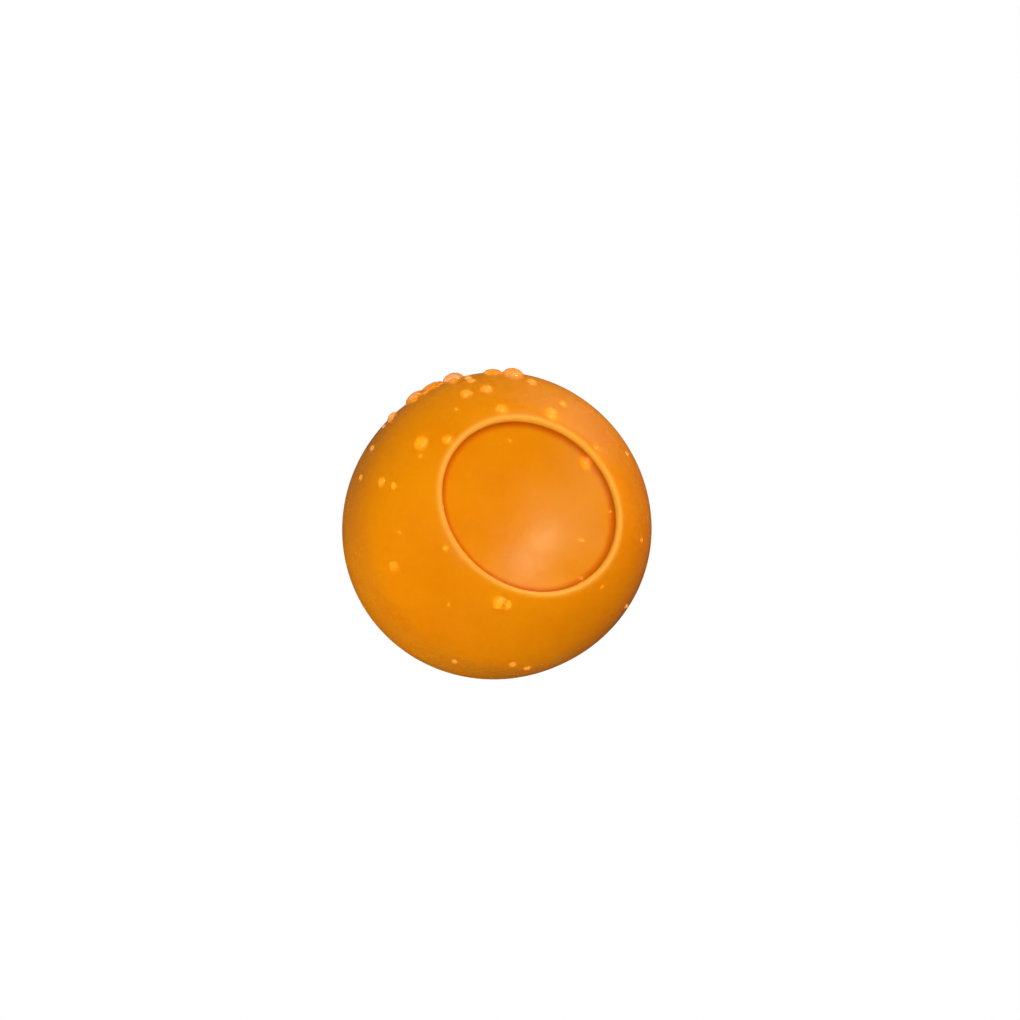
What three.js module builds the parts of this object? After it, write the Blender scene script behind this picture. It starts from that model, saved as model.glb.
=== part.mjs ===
// A silicone cupping cup: a round, hollow dome, open at the bottom, with a shallow, slightly oval thumb dish sunk
// into its top.
// The cup is one soft moulding. It is modelled here as the zones that move apart when it is used: a thick rim that
// seals on the skin, a side wall that gives, a crown that comes down under the palm, a rounded lip round the dish,
// a thin flex ring, and the middle of the dish, which the thumb pushes in.
// Millimetres, +Z up, the mouth's flat face on z = 0, the cup's own axis on Z and the dish's long axis along X.
import * as THREE from 'three';

// Body
const BODY_RADIUS = 35; // outside, at the widest level
const WIDEST_LEVEL = 27.5;
const DOME_RISE = 29.2; // from the widest level to where the dome would close, if there were no dish
const DOME_POWER = 2.6; // 2 is an ellipse, and more gives squarer shoulders
const SKIRT_DROP = 43; // half height of the ellipse that the body follows below its widest level
const WALL = 3;

// Levels at which one zone ends and the next begins
const RIM_TOP = 8;
const CROWN_BOTTOM = 32;
const GAP = 0.3; // left between neighbouring zones

// Mouth rim
const MOUTH_RADIUS = 23; // the opening
const FOOT_INNER = 24.6; // flat face that rests on the skin or on a table
const FOOT_OUTER = 26.8;
const BEAD_LEVEL = 3; // where the bead's round outer corner meets the body

// Dish
const DISH_RADIUS = 20.9; // inside the lip, at the crease, along the dish's long axis
const LIP_ROUND = 1; // radius of the lip's rounded edge
const LIP_OUTER = 23.6; // where the lip ring meets the crown
const LIP_DEPTH = 3.6; // height of the lip ring at its inside
const STEP_DEPTH = 1.5; // from the lip's top down to the crease
const DISH_DEPTH = 3.8; // from the crease down to the middle of the dish
const FLEX_THICKNESS = 1.8;
const PRESS_RADIUS = 12; // the part of the dish that moves as one piece
const PRESS_THICKNESS = 2.6;

// Oval: the dish is a little narrower along Y than along X, and the top of the dome follows it
const DISH_NARROWING = 0.108; // share of the width lost along Y
const OVAL_START = 36; // level where the dome begins to turn oval
const OVAL_FULL = 50; // level above which the whole narrowing applies

const SEGMENTS = 48; // round the axis

// Radius of the body at a level. inset moves the surface inwards, so 0 is the outside and WALL the inside.
function bodyRadius(level, inset = 0) {
  const radius = BODY_RADIUS - inset;
  const above = level - WIDEST_LEVEL;
  if (above <= 0) return radius * Math.sqrt(1 - (above / SKIRT_DROP) ** 2);
  return radius * (1 - (above / (DOME_RISE - inset)) ** DOME_POWER) ** (1 / DOME_POWER);
}

// Level of the dome at a radius, above the widest level.
function domeLevel(radius, inset = 0) {
  const share = (radius / (BODY_RADIUS - inset)) ** DOME_POWER;
  return WIDEST_LEVEL + (DOME_RISE - inset) * (1 - share) ** (1 / DOME_POWER);
}

// The dome's surface from one radius to another, in even steps round its curve.
function domeArc(fromRadius, toRadius, steps, inset = 0) {
  const angle = (radius) => Math.acos((radius / (BODY_RADIUS - inset)) ** (DOME_POWER / 2));
  const start = angle(fromRadius);
  const end = angle(toRadius);
  return Array.from({ length: steps + 1 }, (_, i) => {
    const a = start + ((end - start) * i) / steps;
    const radius = (BODY_RADIUS - inset) * Math.cos(a) ** (2 / DOME_POWER);
    return new THREE.Vector2(radius, domeLevel(radius, inset));
  });
}

// The body's surface from one level to another, in even steps of height.
function wallLine(fromLevel, toLevel, steps, inset = 0) {
  return Array.from({ length: steps + 1 }, (_, i) => {
    const level = fromLevel + ((toLevel - fromLevel) * i) / steps;
    return new THREE.Vector2(bodyRadius(level, inset), level);
  });
}

// Where the lip's round edge leaves the dome: its centre is LIP_ROUND outside the crease.
const lipCentreRadius = DISH_RADIUS + LIP_ROUND;
const lipSlope = Math.atan2(
  domeLevel(lipCentreRadius) - domeLevel(lipCentreRadius + LIP_ROUND),
  LIP_ROUND,
);
const lipJoinRadius = lipCentreRadius + LIP_ROUND * Math.sin(lipSlope);
const lipCentreLevel = domeLevel(lipJoinRadius) - LIP_ROUND * Math.cos(lipSlope);
const lipTop = lipCentreLevel + LIP_ROUND;
const creaseLevel = lipTop - STEP_DEPTH;

// The dish's floor is part of a sphere.
const floorRadius = (DISH_RADIUS ** 2 + DISH_DEPTH ** 2) / (2 * DISH_DEPTH);
function floorLevel(radius) {
  return creaseLevel - DISH_DEPTH + floorRadius - Math.sqrt(floorRadius ** 2 - radius ** 2);
}

function floorLine(fromRadius, toRadius, steps, below = 0) {
  return Array.from({ length: steps + 1 }, (_, i) => {
    const radius = fromRadius + ((toRadius - fromRadius) * i) / steps;
    return new THREE.Vector2(radius, floorLevel(radius) - below);
  });
}

// How much of its Y a point keeps, by its level: all of it up to OVAL_START, and least from OVAL_FULL up.
function ovalShare(level) {
  return 1 - DISH_NARROWING * THREE.MathUtils.smoothstep(level, OVAL_START, OVAL_FULL);
}

function makeOval(geometry) {
  const { position } = geometry.attributes;
  for (let i = 0; i < position.count; i += 1) {
    position.setY(i, position.getY(i) * ovalShare(position.getZ(i)));
  }
  geometry.computeVertexNormals();
}

const silicone = new THREE.MeshStandardMaterial({ color: 0xf08a14, roughness: 0.45, metalness: 0 });
const cup = new THREE.Group();

// Turns a closed outline (radius, level) round the Z axis, makes its top oval and adds it to the cup.
function addTurned(name, outline) {
  const points = [...outline];
  if (points[0].x > 0) points.push(points[0].clone());
  if (THREE.ShapeUtils.area(outline) < 0) points.reverse();
  const geometry = new THREE.LatheGeometry(points, SEGMENTS);
  geometry.rotateX(Math.PI / 2);
  makeOval(geometry);
  const mesh = new THREE.Mesh(geometry, silicone.clone());
  mesh.name = name;
  cup.add(mesh);
}

function mouthRim() {
  const outline = new THREE.Path();
  outline.moveTo(FOOT_INNER, 0);
  outline.lineTo(FOOT_OUTER, 0);
  outline.quadraticCurveTo(bodyRadius(0) + 0.9, 0, bodyRadius(BEAD_LEVEL), BEAD_LEVEL);
  const inside = new THREE.Path();
  const wallInside = bodyRadius(RIM_TOP, WALL);
  inside.moveTo(wallInside, RIM_TOP);
  inside.bezierCurveTo(wallInside - 3, BEAD_LEVEL + 2, MOUTH_RADIUS, BEAD_LEVEL + 2, MOUTH_RADIUS, BEAD_LEVEL - 0.8);
  inside.quadraticCurveTo(MOUTH_RADIUS, 0, FOOT_INNER, 0);
  addTurned('mouth_rim', [
    ...outline.getPoints(5),
    ...wallLine(BEAD_LEVEL, RIM_TOP, 2).slice(1),
    ...inside.getPoints(6).slice(0, -1),
  ]);
}

function sideWall() {
  const bottom = RIM_TOP + GAP;
  const top = CROWN_BOTTOM - GAP;
  addTurned('side_wall', [...wallLine(bottom, top, 8), ...wallLine(top, bottom, 8, WALL)]);
}

function crownShell() {
  const outside = domeArc(bodyRadius(CROWN_BOTTOM), LIP_OUTER, 9);
  const inside = domeArc(LIP_OUTER, bodyRadius(CROWN_BOTTOM, WALL), 8, WALL);
  addTurned('crown_shell', [...outside, ...inside]);
}

function dishLip() {
  const outerRadius = LIP_OUTER - GAP;
  const bottom = lipTop - LIP_DEPTH;
  const round = new THREE.Path();
  round.absarc(lipCentreRadius, lipCentreLevel, LIP_ROUND, Math.PI / 2 - lipSlope, Math.PI, false);
  addTurned('dish_lip', [
    new THREE.Vector2(DISH_RADIUS, bottom),
    new THREE.Vector2(outerRadius, domeLevel(outerRadius, WALL)),
    new THREE.Vector2(outerRadius, domeLevel(outerRadius)),
    ...round.getPoints(6),
  ]);
}

function flexRing() {
  const inner = PRESS_RADIUS + GAP;
  const outer = DISH_RADIUS - GAP;
  addTurned('flex_ring', [...floorLine(inner, outer, 4, FLEX_THICKNESS), ...floorLine(outer, inner, 4)]);
}

function pressDish() {
  const underside = floorLine(0, PRESS_RADIUS, 4, PRESS_THICKNESS);
  addTurned('press_dish', [...underside, ...floorLine(PRESS_RADIUS, 0, 4)]);
}

mouthRim();
sideWall();
crownShell();
dishLip();
flexRing();
pressDish();

export default cup;
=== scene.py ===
# The looks of a silicone cupping cup that stands on its mouth, wet from rinsing.
# The soft moulding is one smooth skin turned round the cup's axis, with the floor of its thumb dish
# in two thin halves so that it can sink. Water stands on the silicone in beads.
import math
import random

import bmesh
import bpy
from mathutils import Matrix, Vector


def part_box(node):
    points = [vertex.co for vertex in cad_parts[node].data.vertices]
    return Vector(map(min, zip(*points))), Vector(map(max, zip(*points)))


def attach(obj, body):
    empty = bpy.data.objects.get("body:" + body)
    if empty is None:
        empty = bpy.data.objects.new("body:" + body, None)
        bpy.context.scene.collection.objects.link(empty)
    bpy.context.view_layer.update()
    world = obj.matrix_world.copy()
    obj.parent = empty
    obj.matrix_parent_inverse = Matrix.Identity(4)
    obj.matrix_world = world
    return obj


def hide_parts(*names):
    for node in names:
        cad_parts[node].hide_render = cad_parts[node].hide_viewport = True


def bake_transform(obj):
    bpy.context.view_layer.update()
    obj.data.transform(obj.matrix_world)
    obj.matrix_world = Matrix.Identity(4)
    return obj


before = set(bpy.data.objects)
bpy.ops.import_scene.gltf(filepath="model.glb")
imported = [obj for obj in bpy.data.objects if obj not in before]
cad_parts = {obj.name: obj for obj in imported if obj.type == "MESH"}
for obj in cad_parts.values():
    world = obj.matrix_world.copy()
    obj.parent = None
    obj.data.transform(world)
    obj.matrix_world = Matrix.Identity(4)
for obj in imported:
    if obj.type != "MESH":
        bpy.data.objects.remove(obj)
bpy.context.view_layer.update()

MM = 0.001


# ---------------------------------------------------------------- sizes, in metres, from the frame

def high(node):
    """The corner of a node's box with its greatest X, Y and Z."""
    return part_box(node)[1]


BODY_RADIUS = high("side_wall").x
RIM_TOP = high("mouth_rim").z
DISH_RADIUS = high("flex_ring").x + 0.3 * MM

# The body's curve: an ellipse below its widest level, and a fuller curve above it
WIDEST_LEVEL = 27.5 * MM
DOME_RISE = 29.2 * MM
DOME_POWER = 2.6
SKIRT_DROP = 43 * MM
WALL = 3 * MM

# The mouth's rim, which is flat between its two foot radii and swells into a bead above them
MOUTH_RADIUS = 23 * MM
FOOT_INNER = 24.6 * MM
FOOT_OUTER = 26.8 * MM
BEAD_LEVEL = 3 * MM
BEAD_SWELL = 0.9 * MM
INNER_BEAD_LOW = 2.2 * MM
INNER_BEAD_HIGH = 5 * MM
PARTING = 0.08 * MM  # height of the seam that the mould leaves round the rim

# The lip and the dish
LIP_ROUND = 1 * MM
STEP_DEPTH = 1.5 * MM
DISH_DEPTH = 3.8 * MM
FLOOR_THICKNESS = 2.2 * MM
DISH_HUB = 5 * MM  # how far outside the dish the dome's inside begins
GROOVE = 0.02 * MM  # free space round the dish's floor
FLOOR_EDGE = DISH_RADIUS - GROOVE
FILLET_WIDTH = 1.2 * MM
FILLET_HEIGHT = 0.5 * MM
SPLIT = 0.9 * MM  # depth at which the dish's floor is parted into a face and a back

# The dish is a little narrower along Y than along X, and the top of the dome follows it
DISH_NARROWING = 0.108
OVAL_START = 36 * MM
OVAL_FULL = 50 * MM

TURN_STEPS = 160
SAME_POINT = 0.002 * MM


def body_radius(level, inset=0.0):
    """Radius of the body at a level: 0 for its outside, WALL for its inside."""
    radius = BODY_RADIUS - inset
    above = level - WIDEST_LEVEL
    if above <= 0:
        return radius * math.sqrt(1 - (above / SKIRT_DROP) ** 2)
    return radius * (1 - (above / (DOME_RISE - inset)) ** DOME_POWER) ** (1 / DOME_POWER)


def dome_level(radius, inset=0.0):
    """Level of the dome at a radius, above the widest level."""
    share = (radius / (BODY_RADIUS - inset)) ** DOME_POWER
    return WIDEST_LEVEL + (DOME_RISE - inset) * (1 - share) ** (1 / DOME_POWER)


LIP_CENTRE = DISH_RADIUS + LIP_ROUND
LIP_SLOPE = math.atan2(dome_level(LIP_CENTRE) - dome_level(LIP_CENTRE + LIP_ROUND), LIP_ROUND)
LIP_JOIN = LIP_CENTRE + LIP_ROUND * math.sin(LIP_SLOPE)
LIP_LEVEL = dome_level(LIP_JOIN) - LIP_ROUND * math.cos(LIP_SLOPE)
CREASE_LEVEL = LIP_LEVEL + LIP_ROUND - STEP_DEPTH
FLOOR_ROUND = (DISH_RADIUS ** 2 + DISH_DEPTH ** 2) / (2 * DISH_DEPTH)


def floor_level(radius):
    """Level of the dish's floor, which is part of a sphere."""
    return CREASE_LEVEL - DISH_DEPTH + FLOOR_ROUND - math.sqrt(FLOOR_ROUND ** 2 - radius ** 2)


def oval_share(level):
    """How much of its Y a point keeps at a level."""
    rise = min(max((level - OVAL_START) / (OVAL_FULL - OVAL_START), 0), 1)
    return 1 - DISH_NARROWING * rise * rise * (3 - 2 * rise)


# ---------------------------------------------------------------- outlines, as lists of (radius, level)

def steps(start, end, count):
    """A count of even steps, with both ends."""
    return [start + (end - start) * i / count for i in range(count + 1)]


def arc(centre, radius, start, end, count):
    """Points on a round corner, with the angles in degrees."""
    angles = [math.radians(a) for a in steps(start, end, count)]
    return [(centre[0] + radius * math.cos(a), centre[1] + radius * math.sin(a)) for a in angles]


def curve(points, count):
    """A Bezier curve through its first and last points, pulled by those between."""
    def at(t, row):
        if len(row) == 1:
            return row[0]
        shorter = [(a[0] + (b[0] - a[0]) * t, a[1] + (b[1] - a[1]) * t) for a, b in zip(row, row[1:])]
        return at(t, shorter)

    return [at(t, points) for t in steps(0, 1, count)]


def dome_arc(start, end, count, inset=0.0):
    """The dome from one radius to another, in even steps round its curve."""
    full = BODY_RADIUS - inset

    def angle(radius):
        return math.acos((radius / full) ** (DOME_POWER / 2))

    angles = steps(angle(start), angle(end), count)
    radii = [full * math.cos(a) ** (2 / DOME_POWER) for a in angles]
    return [(r, dome_level(r, inset)) for r in radii]


def wall_line(start, end, count, inset=0.0):
    """The wall from one level to another."""
    return [(body_radius(z, inset), z) for z in steps(start, end, count)]


def cup_outline():
    """The moulding from the mouth's inner edge, up the outside, over the lip, and down the inside."""
    foot = [(FOOT_INNER, 0.0), ((FOOT_INNER + FOOT_OUTER) / 2, 0.0)]
    bead = curve([
        (FOOT_OUTER, 0.0),
        (body_radius(0) + BEAD_SWELL, 0.0),
        (body_radius(BEAD_LEVEL), BEAD_LEVEL),
    ], 10)
    parting = [
        (body_radius(BEAD_LEVEL) + PARTING, BEAD_LEVEL + PARTING),
        (body_radius(BEAD_LEVEL), BEAD_LEVEL + 3 * PARTING),
    ]
    outside = wall_line(BEAD_LEVEL + 1 * MM, WIDEST_LEVEL, 26)
    dome = dome_arc(BODY_RADIUS, LIP_JOIN, 40)[1:]
    lip = arc((LIP_CENTRE, LIP_LEVEL), LIP_ROUND, 90 - math.degrees(LIP_SLOPE), 180, 14)[1:]
    step = [(DISH_RADIUS, CREASE_LEVEL - 0.5 * MM), (DISH_RADIUS, CREASE_LEVEL - FLOOR_THICKNESS)]
    under = curve([
        (DISH_RADIUS + 0.2 * MM, CREASE_LEVEL - FLOOR_THICKNESS - 0.3 * MM),
        (DISH_RADIUS + 2.5 * MM, CREASE_LEVEL - FLOOR_THICKNESS - 0.6 * MM),
        (DISH_RADIUS + DISH_HUB, dome_level(DISH_RADIUS + DISH_HUB, WALL)),
    ], 8)
    inner_dome = dome_arc(DISH_RADIUS + DISH_HUB, BODY_RADIUS - WALL, 26, WALL)[1:]
    inner_wall = wall_line(WIDEST_LEVEL, RIM_TOP, 16, WALL)[1:]
    start = body_radius(RIM_TOP, WALL)
    inner_bead = curve([
        (start, RIM_TOP),
        (start - WALL, INNER_BEAD_HIGH),
        (MOUTH_RADIUS, INNER_BEAD_HIGH),
        (MOUTH_RADIUS, INNER_BEAD_LOW),
    ], 12)[1:]
    edge = curve([(MOUTH_RADIUS, INNER_BEAD_LOW), (MOUTH_RADIUS, 0.0), (FOOT_INNER, 0.0)], 8)[1:]
    outer_side = foot + bead + parting + outside + dome + lip
    inner_side = step + under + inner_dome + inner_wall + inner_bead + edge
    return outer_side + inner_side


def sagging(depth):
    """The floor's curve at a depth under its surface, from the middle outwards."""
    return [(r, floor_level(r) - depth) for r in steps(0, FLOOR_EDGE, 40)]


def face_outline():
    """The upper half of the floor. A fillet takes its edge up to the step, as on one moulding."""
    top = [(r, floor_level(r)) for r in steps(0, FLOOR_EDGE - FILLET_WIDTH, 40)]
    corner = (FLOOR_EDGE, floor_level(FLOOR_EDGE))
    fillet = curve([top[-1], corner, (FLOOR_EDGE, corner[1] + FILLET_HEIGHT)], 12)[1:]
    return top + fillet + list(reversed(sagging(SPLIT)))


def back_outline():
    """The lower half of the floor."""
    return sagging(SPLIT + GROOVE) + list(reversed(sagging(FLOOR_THICKNESS)))


# ---------------------------------------------------------------- turned pieces

def turned(name, outline):
    """Draws an outline point by point, turns it once round the cup's axis and closes it."""
    bpy.ops.object.select_all(action="DESELECT")
    bpy.ops.mesh.primitive_plane_add(size=MM)
    piece = bpy.context.object
    piece.name = name
    bpy.ops.object.mode_set(mode="EDIT")
    bpy.ops.mesh.merge(type="CENTER")
    bpy.ops.transform.translate(value=(outline[0][0], 0, outline[0][1]))
    here = outline[0]
    for point in outline[1:]:
        move = (point[0] - here[0], 0, point[1] - here[1])
        bpy.ops.mesh.extrude_vertices_move(TRANSFORM_OT_translate={"value": move})
        here = point
    bpy.ops.mesh.select_all(action="SELECT")
    bpy.ops.mesh.spin(steps=TURN_STEPS, angle=2 * math.pi, center=(0, 0, 0), axis=(0, 0, 1))
    bpy.ops.mesh.select_all(action="SELECT")
    bpy.ops.mesh.remove_doubles(threshold=SAME_POINT)
    bpy.ops.mesh.normals_make_consistent(inside=False)
    narrow_top(piece)
    bpy.ops.object.mode_set(mode="OBJECT")
    bpy.ops.object.shade_smooth()
    return piece


def narrow_top(piece):
    """Narrows every ring above OVAL_START along Y, one level at a time."""
    shape = bmesh.from_edit_mesh(piece.data)
    rings = {}
    for vertex in shape.verts:
        if vertex.co.z > OVAL_START:
            rings.setdefault(round(vertex.co.z / MM, 3), []).append(vertex)
    for level, ring in rings.items():
        bpy.ops.mesh.select_all(action="DESELECT")
        for vertex in ring:
            vertex.select = True
        bpy.ops.transform.resize(value=(1, oval_share(level * MM), 1), center_override=(0, 0, 0))


cup = turned("cup_skin", cup_outline())
dish_face = turned("dish_face", face_outline())
dish_back = turned("dish_back", back_outline())


# ---------------------------------------------------------------- silicone

DEEP_ORANGE = (0.8, 0.245, 0.001, 1)
LIGHT_ORANGE = (0.86, 0.285, 0.002, 1)
# painted highlight: the bright band along the dish's lip is painted into its colour
LIP_HIGHLIGHT_ORANGE = (0.96, 0.42, 0.045, 1)
# painted shade: the dark line in the dish's crease is painted into its colour
CREASE_SHADE_ORANGE = (0.66, 0.11, 0.001, 1)

# Patches to the metre
COLOUR_CLOUDS = 60
GLOSS_PATCHES = 190
WAVES = 260
GRAINS = 2200


def new_material(name):
    """A material with its nodes, its links and its main shader."""
    material = bpy.data.materials.new(name)
    material.use_nodes = True
    nodes = material.node_tree.nodes
    return material, nodes, material.node_tree.links, nodes["Principled BSDF"]


def noise(nodes, links, scale, detail):
    """A cloudy pattern fixed to the piece. The scale is in patches to the metre."""
    place = nodes.new("ShaderNodeTexCoord")
    pattern = nodes.new("ShaderNodeTexNoise")
    pattern.inputs["Scale"].default_value = scale
    pattern.inputs["Detail"].default_value = detail
    links.new(place.outputs["Object"], pattern.inputs["Vector"])
    return pattern.outputs["Fac"]


def ramp(nodes, links, value, low_stop, high_stop):
    """Turns a pattern into a range between two colours."""
    stops = nodes.new("ShaderNodeValToRGB")
    stops.color_ramp.elements[0].position = 0.3
    stops.color_ramp.elements[1].position = 0.7
    stops.color_ramp.elements[0].color = low_stop
    stops.color_ramp.elements[1].color = high_stop
    links.new(value, stops.inputs["Fac"])
    return stops.outputs["Color"]


def grey(value):
    """A value as a colour."""
    return (value, value, value, 1)


def map_range(nodes, links, value, start, end):
    """0 before start, 1 after end, and smooth between. End may lie before start."""
    smooth = nodes.new("ShaderNodeMapRange")
    smooth.interpolation_type = "SMOOTHSTEP"
    smooth.inputs["From Min"].default_value = min(start, end)
    smooth.inputs["From Max"].default_value = max(start, end)
    smooth.inputs["To Min"].default_value = 0 if start < end else 1
    smooth.inputs["To Max"].default_value = 1 if start < end else 0
    links.new(value, smooth.inputs["Value"])
    return smooth.outputs["Result"]


def math_node(nodes, links, operation, first, second=0):
    """An operation on two values, each of which is an output or a number."""
    node = nodes.new("ShaderNodeMath")
    node.operation = operation
    for socket, value in zip(node.inputs, (first, second)):
        if isinstance(value, (int, float)):
            socket.default_value = value
        else:
            links.new(value, socket)
    return node.outputs["Value"]


def from_axis(nodes, links):
    """The distance from the cup's axis, with the top's narrowing undone, and the level."""
    place = nodes.new("ShaderNodeTexCoord")
    rounder = nodes.new("ShaderNodeMapping")
    rounder.inputs["Scale"].default_value = (1, 1 / (1 - DISH_NARROWING), 0)
    links.new(place.outputs["Object"], rounder.inputs["Vector"])
    radius = nodes.new("ShaderNodeVectorMath")
    radius.operation = "LENGTH"
    links.new(rounder.outputs["Vector"], radius.inputs[0])
    axes = nodes.new("ShaderNodeSeparateXYZ")
    links.new(place.outputs["Object"], axes.inputs["Vector"])
    return radius.outputs["Value"], axes.outputs["Z"]


def painted_lip_highlight(nodes, links):
    """Painted highlight: 1 on the lip round the dish, where its colour is painted paler, and 0 away from
    it.
    """
    radius, level = from_axis(nodes, links)
    beside = math_node(nodes, links, "SUBTRACT", radius, DISH_RADIUS + 0.5 * MM)
    near = map_range(nodes, links, math_node(nodes, links, "ABSOLUTE", beside), 1.8 * MM, 0.1 * MM)
    above = map_range(nodes, links, level, CREASE_LEVEL + 0.1 * MM, CREASE_LEVEL + 0.7 * MM)
    return math_node(nodes, links, "MULTIPLY", near, above)


def painted_crease_shade(nodes, links):
    """Painted shade: rises from 0 to most of 1 towards the crease between the dish's floor and its step.
    """
    radius, level = from_axis(nodes, links)
    inside = map_range(nodes, links, radius, DISH_RADIUS - 1.8 * MM, DISH_RADIUS - 0.3 * MM)
    below = map_range(nodes, links, level, CREASE_LEVEL + 0.9 * MM, CREASE_LEVEL + 0.2 * MM)
    outside = map_range(nodes, links, radius, DISH_RADIUS + 0.6 * MM, DISH_RADIUS + 0.2 * MM)
    ring = math_node(nodes, links, "MULTIPLY", inside, outside)
    crease = math_node(nodes, links, "MULTIPLY", ring, below)
    return math_node(nodes, links, "MULTIPLY", crease, 0.85)


def blended(nodes, links, mask, first, second):
    """The first colour where the mask is 0, and the second, which is a constant, where it is 1."""
    mix = nodes.new("ShaderNodeMix")
    mix.data_type = "RGBA"
    links.new(mask, mix.inputs["Factor"])
    links.new(first, mix.inputs["A"])
    mix.inputs["B"].default_value = second
    return mix.outputs["Result"]


def bump(nodes, links, pattern, strength, height):
    """A Bump node for a pattern of a height."""
    node = nodes.new("ShaderNodeBump")
    node.inputs["Strength"].default_value = strength
    node.inputs["Distance"].default_value = height
    links.new(pattern, node.inputs["Height"])
    return node


def silicone():
    """Soft pigmented silicone: satin, slightly cloudy in colour, with the mould's fine grain. A highlight
    is painted along the dish's lip, and shade is painted into the dish's crease.
    """
    material, nodes, links, shader = new_material("orange_silicone")
    shader.inputs["IOR"].default_value = 1.42
    shader.inputs["Specular IOR Level"].default_value = 0.25
    shader.inputs["Specular Tint"].default_value = (1, 0.85, 0.6, 1)
    shader.inputs["Subsurface Weight"].default_value = 0.35
    shader.inputs["Subsurface Radius"].default_value = (1.0, 0.3, 0.08)
    shader.inputs["Subsurface Scale"].default_value = 1.2 * MM
    clouds = noise(nodes, links, COLOUR_CLOUDS, 4)
    orange = ramp(nodes, links, clouds, DEEP_ORANGE, LIGHT_ORANGE)
    # Painted highlight: the lip round the dish is painted paler
    lip_lit = blended(nodes, links, painted_lip_highlight(nodes, links), orange, LIP_HIGHLIGHT_ORANGE)
    # Painted shade: the crease round the dish's floor is painted darker and redder
    crease_shaded = blended(nodes, links, painted_crease_shade(nodes, links), lip_lit, CREASE_SHADE_ORANGE)
    links.new(crease_shaded, shader.inputs["Base Color"])
    patches = noise(nodes, links, GLOSS_PATCHES, 3)
    links.new(ramp(nodes, links, patches, grey(0.21), grey(0.31)), shader.inputs["Roughness"])
    grain = bump(nodes, links, noise(nodes, links, GRAINS, 3), 0.4, 0.05 * MM)
    waviness = bump(nodes, links, noise(nodes, links, WAVES, 2), 0.3, 0.12 * MM)
    links.new(waviness.outputs["Normal"], grain.inputs["Normal"])
    links.new(grain.outputs["Normal"], shader.inputs["Normal"])
    return material


orange_silicone = silicone()
for piece in (cup, dish_face, dish_back):
    piece.data.materials.append(orange_silicone)

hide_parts("mouth_rim", "side_wall", "crown_shell", "dish_lip")
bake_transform(cup)
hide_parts("press_dish", "flex_ring")
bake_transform(dish_face)
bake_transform(dish_back)


# ---------------------------------------------------------------- water

# Beads of water as (bearing in degrees, radius on the cup, width), the sizes in millimetres
CROWN_DROPS = [
    (-179, 27.9, 3.7), (-172, 26.9, 1.1), (104, 24.8, 4.2), (100, 25.2, 1.4), (-78.5, 25.6, 3.5),
    (-74.5, 25.5, 2.6), (144, 30.1, 3.1), (134, 30.1, 3.0), (138, 32.7, 2.2), (133, 24.2, 3.1),
    (173, 23.8, 2.6), (-159, 32.4, 2.2), (-156, 30.5, 1.7), (112, 32.4, 2.6), (154, 27.8, 0.9),
    (98, 29.8, 1.9), (74, 23.8, 1.7), (62, 31.8, 1.4), (21, 28.8, 1.3), (-7, 32.8, 1.4), (-17, 24.6, 0.9),
    (-119, 24.1, 1.4), (-135, 30.5, 0.9), (-124, 32.6, 2.6), (-97, 30.5, 0.9),
]

# The same on the upper wall, as (bearing, level, width). A fourth value flattens or raises a bead
WALL_DROPS = [
    (142, 35.5, 5.6, 0.9), (144, 39, 2.2), (138, 39.8, 2), (157, 32.6, 5.8, 0.8), (160, 36, 2),
    (155, 36.6, 1.6), (150, 33.6, 6.6, 0.6), (168, 31, 3.2, 0.8), (171, 33.4, 1.8), (173, 31, 1.4),
    (119, 39.2, 5.4, 0.75), (127, 38.2, 4.8, 0.6), (-164, 32.8, 1.6), (-176, 33.2, 1.6),
    (-80, 33.2, 1.4), (-60, 38.6, 1.8), (-53, 36.7, 1.8),
]

# On the dish's floor, as (bearing, radius, width)
FLOOR_DROPS = [(71, 19.7, 3.8), (33, 20.1, 1), (-24, 20.3, 1.6), (131, 16.7, 0.9), (4, 14.6, 1.3)]

STRAY_DROPS = 64
STRAY_WIDTHS = (0.7, 0.9, 1.1, 1.4, 1.9, 2.7)
STRAY_SPREAD = 95  # how far round from the middle of the far side they reach, in degrees
STRAY_LOWEST = 9
STRAY_HIGHEST = 34
STRAY_FALL = 15  # how much lower the highest of them are, a quarter of the way round
FAR_SIDE = 63  # the bearing of the wall that stands furthest from the camera, in degrees
BEAD_CUT = 0.1  # where a ball 1 across is cut to leave a bead, above its middle
DROP_HEIGHT = 0.85  # how much of its height the bead keeps
DROP_SINK = 0.035  # how far a bead's flat underside is let into the silicone, as a share of its width
SHORT_STEP = 0.1 * MM

# How much of the light that falls through a bead goes straight on, and isn't gathered by it
SHADOW_CLEARNESS = 0.42
BOUNCE_CLEARNESS = 0.12


def on_cup(bearing, radius, level):
    """The point at a bearing, on a ring of the turned shape, once the top is narrowed."""
    return Vector((radius * math.cos(bearing), radius * math.sin(bearing) * oval_share(level), level))


def on_wall(bearing, level):
    """The point on the wall at a level."""
    return on_cup(bearing, body_radius(level), level)


def on_crown(bearing, radius):
    """The point on the dome at a radius."""
    return on_cup(bearing, radius, dome_level(radius))


def on_floor(bearing, radius):
    """The point on the dish's floor at a radius."""
    return on_cup(bearing, radius, floor_level(radius))


def outward(surface, bearing, place, step):
    """The normal of a surface, from one short step round it and one short step along it."""
    here = surface(bearing, place)
    round_it = surface(bearing + 0.01, place) - here
    along_it = surface(bearing, place + step) - here
    return round_it.cross(along_it).normalized()


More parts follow.
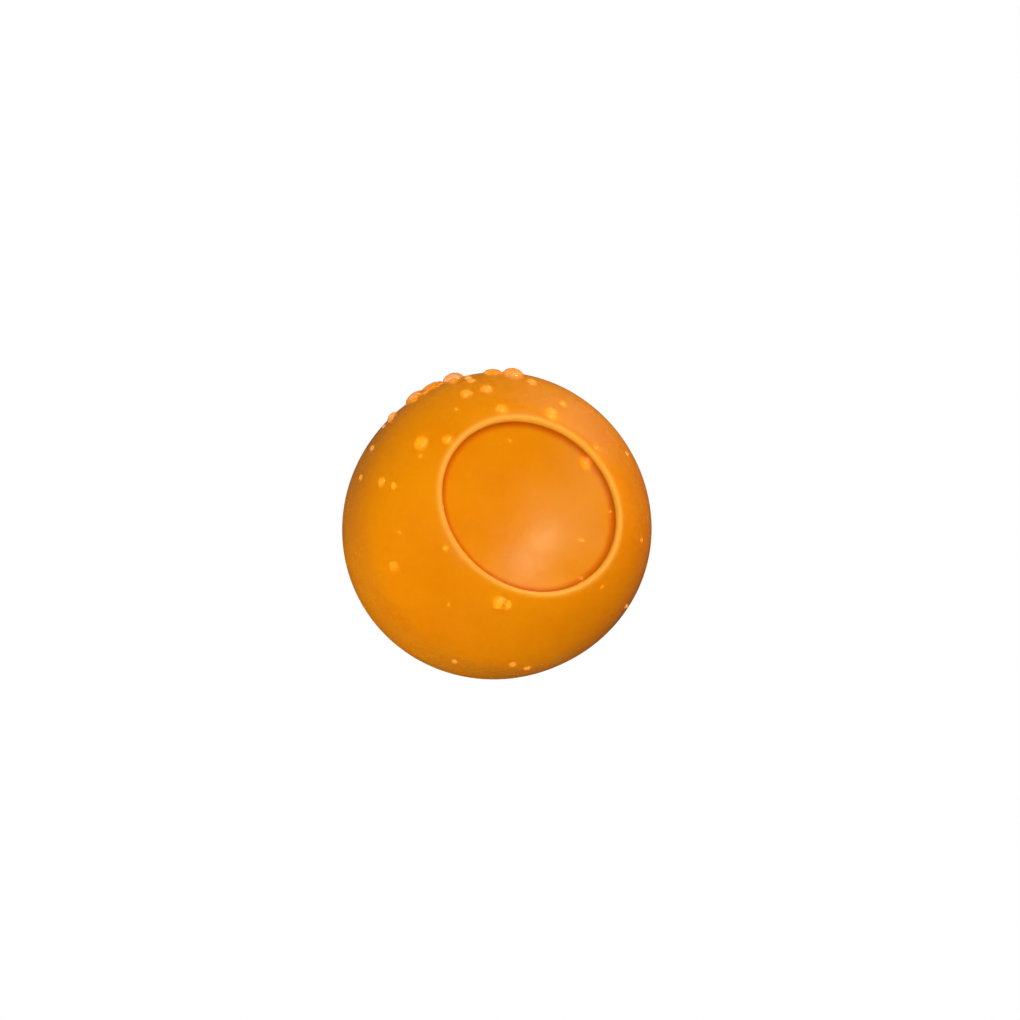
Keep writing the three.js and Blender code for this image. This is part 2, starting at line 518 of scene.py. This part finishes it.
def bead_of_water():
    """One bead, a flattened ball cut off a little above its middle."""
    bpy.ops.object.select_all(action="DESELECT")
    bpy.ops.mesh.primitive_uv_sphere_add(segments=22, ring_count=12, radius=0.5)
    bead = bpy.context.object
    bpy.ops.object.mode_set(mode="EDIT")
    bpy.ops.mesh.select_all(action="SELECT")
    bpy.ops.mesh.bisect(plane_co=(0, 0, BEAD_CUT), plane_no=(0, 0, 1), clear_inner=True, use_fill=True)
    bpy.ops.mesh.select_all(action="SELECT")
    bpy.ops.transform.translate(value=(0, 0, -BEAD_CUT))
    bpy.ops.transform.resize(value=(1, 1, DROP_HEIGHT), center_override=(0, 0, 0))
    bpy.ops.mesh.normals_make_consistent(inside=False)
    bpy.ops.object.mode_set(mode="OBJECT")
    bpy.ops.object.shade_smooth_by_angle(angle=math.radians(50))
    return bead


def water():
    """Clear water. It lets light through to the silicone, so that a bead has no black shadow."""
    material, nodes, links, shader = new_material("water")
    shader.inputs["Base Color"].default_value = (1, 1, 1, 1)
    shader.inputs["Roughness"].default_value = 0.02
    shader.inputs["Specular IOR Level"].default_value = 0.9
    shader.inputs["IOR"].default_value = 1.33
    shader.inputs["Transmission Weight"].default_value = 1
    clear = nodes.new("ShaderNodeBsdfTransparent")
    rays = nodes.new("ShaderNodeLightPath")
    mix = nodes.new("ShaderNodeMixShader")
    direct = math_node(nodes, links, "MULTIPLY", rays.outputs["Is Shadow Ray"], SHADOW_CLEARNESS)
    bounced = math_node(nodes, links, "MULTIPLY", rays.outputs["Is Diffuse Ray"], BOUNCE_CLEARNESS)
    links.new(math_node(nodes, links, "ADD", direct, bounced), mix.inputs["Fac"])
    links.new(shader.outputs["BSDF"], mix.inputs[1])
    links.new(clear.outputs["BSDF"], mix.inputs[2])
    links.new(mix.outputs["Shader"], nodes["Material Output"].inputs["Surface"])
    return material


bead = bead_of_water()
bead.data.materials.append(water())
chance = random.Random(7)


def drops(name, surface, places, step):
    """Copies the bead to each place on a surface and joins the copies into one piece.

    The step is signed so that outward gives the side on which the water stands.
    """
    copies = []
    for bearing, place, width, *flatness in places:
        bearing = math.radians(bearing)
        up = outward(surface, bearing, place * MM, step)
        copy = bead.copy()
        copy.data = bead.data.copy()
        bpy.context.scene.collection.objects.link(copy)
        stretch = chance.uniform(0.94, 1.08)
        height = chance.uniform(0.9, 1.12) * (flatness[0] if flatness else 1)
        spin = Matrix.Rotation(chance.uniform(0, math.pi), 4, "Z")
        size = Matrix.Diagonal((width * stretch * MM, width / stretch * MM, width * height * MM, 1))
        seat = Matrix.Translation(surface(bearing, place * MM) - DROP_SINK * width * MM * up)
        copy.matrix_world = seat @ up.to_track_quat("Z", "Y").to_matrix().to_4x4() @ spin @ size
        copies.append(copy)
    bpy.ops.object.select_all(action="DESELECT")
    for copy in copies:
        copy.select_set(True)
    bpy.context.view_layer.objects.active = copies[0]
    bpy.ops.object.join()
    bpy.ops.object.transform_apply(location=True, rotation=True, scale=True)
    piece = bpy.context.object
    piece.name = name
    return piece


def stray_drops():
    """Small beads scattered over the wall's far side, reaching highest in its middle."""
    places = []
    for _ in range(STRAY_DROPS):
        turn = chance.uniform(-STRAY_SPREAD, STRAY_SPREAD)
        highest = STRAY_HIGHEST - STRAY_FALL * (1 - math.cos(math.radians(turn)))
        level = chance.uniform(STRAY_LOWEST, highest)
        places.append((FAR_SIDE + turn, level, chance.choice(STRAY_WIDTHS)))
    return places


crown_drops = drops("crown_drops", on_crown, CROWN_DROPS, -SHORT_STEP)
wall_drops = drops("wall_drops", on_wall, WALL_DROPS + stray_drops(), SHORT_STEP)
floor_drops = drops("floor_drops", on_floor, FLOOR_DROPS, -SHORT_STEP)
bpy.data.objects.remove(bead)

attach(crown_drops, "crown")
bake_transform(wall_drops)
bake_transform(floor_drops)


# ---------------------------------------------------------------- camera

TILT = math.radians(20.5)
ROLL = math.radians(31.5)
BEARING = math.radians(-117)
LENS = 120
DISTANCE = 0.7825
SHIFT_X = 0.0135
SHIFT_Y = 0.0165
LOOK_AT = Vector((0, 0, 27 * MM))

to_camera = Vector((
    math.sin(TILT) * math.cos(BEARING),
    math.sin(TILT) * math.sin(BEARING),
    math.cos(TILT),
))
across = Vector((math.sin(BEARING), -math.cos(BEARING), 0))
axis_in_view = across.cross(to_camera)
camera_right = math.cos(ROLL) * axis_in_view - math.sin(ROLL) * across
camera_up = math.sin(ROLL) * axis_in_view + math.cos(ROLL) * across


def in_view(right, up, front):
    """A direction given as seen from the camera."""
    return (right * camera_right + up * camera_up + front * to_camera).normalized()


def facing(direction_right, direction_up, direction_back, place):
    """The matrix of a camera or lamp at a place, from its own three directions."""
    turn = Matrix((direction_right, direction_up, direction_back)).transposed().to_4x4()
    return Matrix.Translation(place) @ turn


def add_camera():
    data = bpy.data.cameras.new("camera")
    data.lens = LENS
    data.shift_x = SHIFT_X
    data.shift_y = SHIFT_Y
    camera = bpy.data.objects.new("camera", data)
    bpy.context.scene.collection.objects.link(camera)
    camera.matrix_world = facing(camera_right, camera_up, to_camera, LOOK_AT + DISTANCE * to_camera)
    bpy.context.scene.camera = camera


add_camera()


# ---------------------------------------------------------------- lights and floor

WHITE = (1, 1, 1)
WARM = (1, 0.92, 0.36)
RED = (1, 0.1, 0.04)
SQUARE = (0.38, 0.38)
STRIP = (0.34, 0.05)
WIDE = (0.6, 0.38)
FAR = 0.7
FLOOR_SIZE = 4
FLOOR_LEVEL = -0.02 * MM
NIGHT = 0.03  # the world's strength as a light


def softbox(name, direction, distance, size, power, lean=0, colour=WHITE, mirrored=True):
    """A softbox that faces the cup.

    lean turns its long side, in degrees up from the view's right. One that isn't mirrored leaves
    no highlight of its own.
    """
    data = bpy.data.lights.new(name, "AREA")
    data.shape = "RECTANGLE"
    data.size, data.size_y = size
    data.energy = power
    data.color = colour
    light = bpy.data.objects.new(name, data)
    light.visible_camera = False
    light.visible_glossy = mirrored
    bpy.context.scene.collection.objects.link(light)
    back = direction.normalized()
    lean = math.radians(lean)
    long_side = math.cos(lean) * camera_right + math.sin(lean) * camera_up
    side = (long_side - long_side.dot(back) / to_camera.dot(back) * to_camera).normalized()
    light.matrix_world = facing(side, back.cross(side), back, LOOK_AT + distance * back)


softbox("key", in_view(0.3, 0.42, 0.86), FAR, SQUARE, 1.45)
softbox("strip", in_view(0.55, 0.67, 0.68), 0.6, STRIP, 1.1, lean=52)
softbox("front", in_view(-0.05, -0.1, 1), FAR, SQUARE, 1.4)
softbox("left", in_view(-0.72, -0.15, 0.67), FAR, SQUARE, 0.35, colour=WARM, mirrored=False)
softbox("far_left", in_view(-1, 0.2, 0.02), FAR, SQUARE, 2.1, colour=WARM, mirrored=False)
softbox("low", in_view(-0.3, -0.85, 0.42), FAR, WIDE, 3, colour=WARM, mirrored=False)
softbox("top", in_view(0.45, 0.84, 0.28), FAR, SQUARE, 1.15)
softbox("behind", in_view(0.52, 0.7, -0.48), FAR, SQUARE, 0.7)
softbox("under", Vector((0, 0, -1)), 0.5, SQUARE, 0.4, colour=WARM, mirrored=False)
softbox("right", in_view(1, 0.3, -0.1), FAR, SQUARE, 0.9, colour=RED)


def seen(nodes, links):
    """1 for what the camera sees, by itself or through water, and 0 for light."""
    rays = nodes.new("ShaderNodeLightPath").outputs
    return math_node(nodes, links, "MAXIMUM", rays["Is Camera Ray"], rays["Is Transmission Ray"])


def add_floor():
    """A white sheet without a shadow, which can be looked through from below."""
    bpy.ops.object.select_all(action="DESELECT")
    bpy.ops.mesh.primitive_plane_add(size=FLOOR_SIZE, location=(0, 0, FLOOR_LEVEL))
    floor = bpy.context.object
    floor.name = "floor"
    floor.visible_shadow = False
    material, nodes, links, shader = new_material("pale_floor")
    shader.inputs["Base Color"].default_value = grey(0.05)
    shader.inputs["Roughness"].default_value = 0.9
    white = nodes.new("ShaderNodeEmission")
    lit = nodes.new("ShaderNodeMixShader")
    links.new(seen(nodes, links), lit.inputs["Fac"])
    links.new(shader.outputs["BSDF"], lit.inputs[1])
    links.new(white.outputs["Emission"], lit.inputs[2])
    side = nodes.new("ShaderNodeNewGeometry")
    clear = nodes.new("ShaderNodeBsdfTransparent")
    mix = nodes.new("ShaderNodeMixShader")
    links.new(side.outputs["Backfacing"], mix.inputs["Fac"])
    links.new(lit.outputs["Shader"], mix.inputs[1])
    links.new(clear.outputs["BSDF"], mix.inputs[2])
    links.new(mix.outputs["Shader"], nodes["Material Output"].inputs["Surface"])
    floor.data.materials.append(material)


def add_world():
    """White where the camera looks past the floor, and nearly dark as a light."""
    world = bpy.data.worlds.new("studio")
    bpy.context.scene.world = world
    world.use_nodes = True
    nodes = world.node_tree.nodes
    links = world.node_tree.links
    nodes["Background"].inputs["Color"].default_value = grey(1)
    strength = math_node(nodes, links, "MAXIMUM", seen(nodes, links), NIGHT)
    links.new(strength, nodes["Background"].inputs["Strength"])


add_floor()
add_world()

bpy.context.scene.view_settings.view_transform = "Standard"
